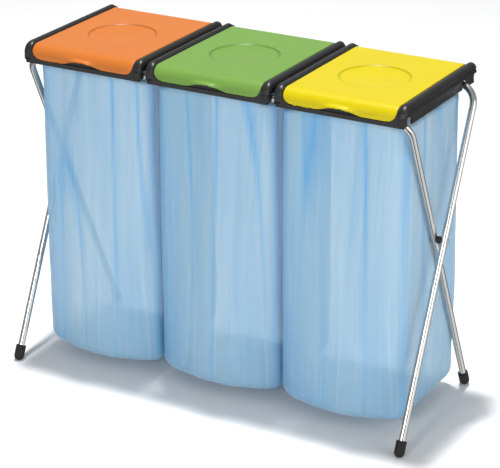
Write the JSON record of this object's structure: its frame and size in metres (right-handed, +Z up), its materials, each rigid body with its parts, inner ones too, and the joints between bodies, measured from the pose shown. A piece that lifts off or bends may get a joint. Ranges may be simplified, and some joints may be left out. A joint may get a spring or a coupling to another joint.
{
  "type": "sorting sack stand",
  "caption": "Folding floor stand for waste sorting: crossed steel tube frames carry a row of rims with hinged lids over hanging film sacks.",
  "frame": {"origin": "on the floor, midway between the feet and midway along the row", "axes": "+X along the row of modules to the right, +Y to the back where the lids hinge, +Z up"},
  "size_m": [1.038, 0.4276, 0.789],
  "materials": {
    "frame_steel": "bright zinc plate",
    "rivet_steel": "bright",
    "black_plastic": "satin charcoal moulding",
    "foot_rubber": "matt black",
    "orange_plastic": "satin",
    "green_plastic": "satin",
    "yellow_plastic": "satin",
    "sack_film": "thin translucent blue film"
  },
  "bodies": {
    "outer_frame": {"outer_frame_tube": "frame_steel", "front_foot_left": "foot_rubber", "front_foot_right": "foot_rubber", "pivot_spacer_left": "black_plastic", "pivot_spacer_right": "black_plastic", "pivot_rivet_left": "rivet_steel", "pivot_rivet_right": "rivet_steel", "left_sack": "sack_film", "middle_sack": "sack_film", "right_sack": "sack_film"},
    "inner_frame": {"inner_frame_tube": "frame_steel", "rear_foot_left": "foot_rubber", "rear_foot_right": "foot_rubber"},
    "left_rim_body": {"left_rim": "black_plastic", "left_hinge_rod": "rivet_steel"},
    "left_ring_body": {"left_clamp_ring": "black_plastic"},
    "left_lid_body": {"left_lid": "orange_plastic"},
    "middle_rim_body": {"middle_rim": "black_plastic", "middle_hinge_rod": "rivet_steel"},
    "middle_ring_body": {"middle_clamp_ring": "black_plastic"},
    "middle_lid_body": {"middle_lid": "green_plastic"},
    "right_rim_body": {"right_rim": "black_plastic", "right_hinge_rod": "rivet_steel"},
    "right_ring_body": {"right_clamp_ring": "black_plastic"},
    "right_lid_body": {"right_lid": "yellow_plastic"}
  },
  "joints": [
    {"name": "frame_fold", "type": "hinge", "parent": "outer_frame", "child": "inner_frame", "pos_m": [0, 0, 0.44024], "axis": [-1, 0, 0], "range_deg": [0, 46], "deforming": ["left_sack", "middle_sack", "right_sack"]},
    {"name": "left_rim_tilt", "type": "hinge", "parent": "outer_frame", "child": "left_rim_body", "pos_m": [-0.325, 0.148, 0.755], "axis": [-1, 0, 0], "range_deg": [0, 97.1]},
    {"name": "left_ring_hinge", "type": "hinge", "parent": "left_rim_body", "child": "left_ring_body", "pos_m": [-0.325, 0.183, 0.776], "axis": [-1, 0, 0], "range_deg": [0, 60]},
    {"name": "left_lid_hinge", "type": "hinge", "parent": "left_ring_body", "child": "left_lid_body", "pos_m": [-0.325, 0.183, 0.776], "axis": [-1, 0, 0], "range_deg": [0, 100]},
    {"name": "middle_rim_tilt", "type": "hinge", "parent": "outer_frame", "child": "middle_rim_body", "pos_m": [0, 0.148, 0.755], "axis": [-1, 0, 0], "range_deg": [0, 97.1]},
    {"name": "middle_ring_hinge", "type": "hinge", "parent": "middle_rim_body", "child": "middle_ring_body", "pos_m": [0, 0.183, 0.776], "axis": [-1, 0, 0], "range_deg": [0, 60]},
    {"name": "middle_lid_hinge", "type": "hinge", "parent": "middle_ring_body", "child": "middle_lid_body", "pos_m": [0, 0.183, 0.776], "axis": [-1, 0, 0], "range_deg": [0, 100]},
    {"name": "right_rim_tilt", "type": "hinge", "parent": "outer_frame", "child": "right_rim_body", "pos_m": [0.325, 0.148, 0.755], "axis": [-1, 0, 0], "range_deg": [0, 97.1]},
    {"name": "right_ring_hinge", "type": "hinge", "parent": "right_rim_body", "child": "right_ring_body", "pos_m": [0.325, 0.183, 0.776], "axis": [-1, 0, 0], "range_deg": [0, 60]},
    {"name": "right_lid_hinge", "type": "hinge", "parent": "right_ring_body", "child": "right_lid_body", "pos_m": [0.325, 0.183, 0.776], "axis": [-1, 0, 0], "range_deg": [0, 100]}
  ],
  "couplings": [
    {"joint": "left_rim_tilt", "follows": "frame_fold", "ratio": 2.1},
    {"joint": "middle_rim_tilt", "follows": "frame_fold", "ratio": 2.1},
    {"joint": "right_rim_tilt", "follows": "frame_fold", "ratio": 2.1}
  ]
}
